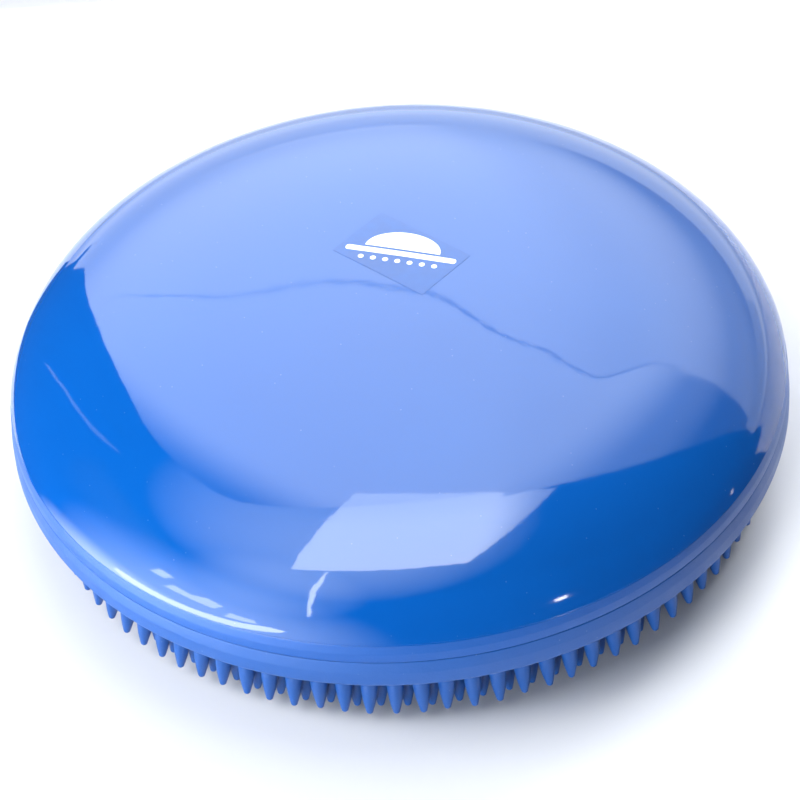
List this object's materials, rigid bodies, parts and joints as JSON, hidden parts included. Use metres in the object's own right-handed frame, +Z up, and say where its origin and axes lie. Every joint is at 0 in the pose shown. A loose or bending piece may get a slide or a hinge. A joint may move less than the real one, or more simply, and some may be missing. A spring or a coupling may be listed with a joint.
{
  "type": "inflatable balance disc",
  "caption": "Inflatable balance disc: smooth domed top, satin rim band and moulded spikes underneath, with a push-in valve plug.",
  "frame": {"origin": "on the disc's axis, in the plane that the underside's spikes stand on", "axes": "+Z up along the disc's axis, out of the domed top; -Y towards the side the emblem is read from; +X to that reader's right"},
  "size_m": [0.3328, 0.3328, 0.0997],
  "materials": {
    "upper_pvc": "high gloss moulded soft PVC",
    "lower_pvc": "satin moulded soft PVC",
    "emblem_print": "printed film",
    "valve_pvc": "matte soft PVC",
    "plug_plastic": "satin"
  },
  "bodies": {
    "cushion": {"upper_shell": "upper_pvc", "lower_shell": "lower_pvc", "emblem_film": "emblem_print", "valve_socket": "valve_pvc"},
    "plug": {"valve_plug": "plug_plastic"}
  },
  "joints": [
    {"name": "plug_pull", "type": "slide", "parent": "cushion", "child": "plug", "axis": [0, 0, -1], "range_m": [0, 0.012]}
  ]
}
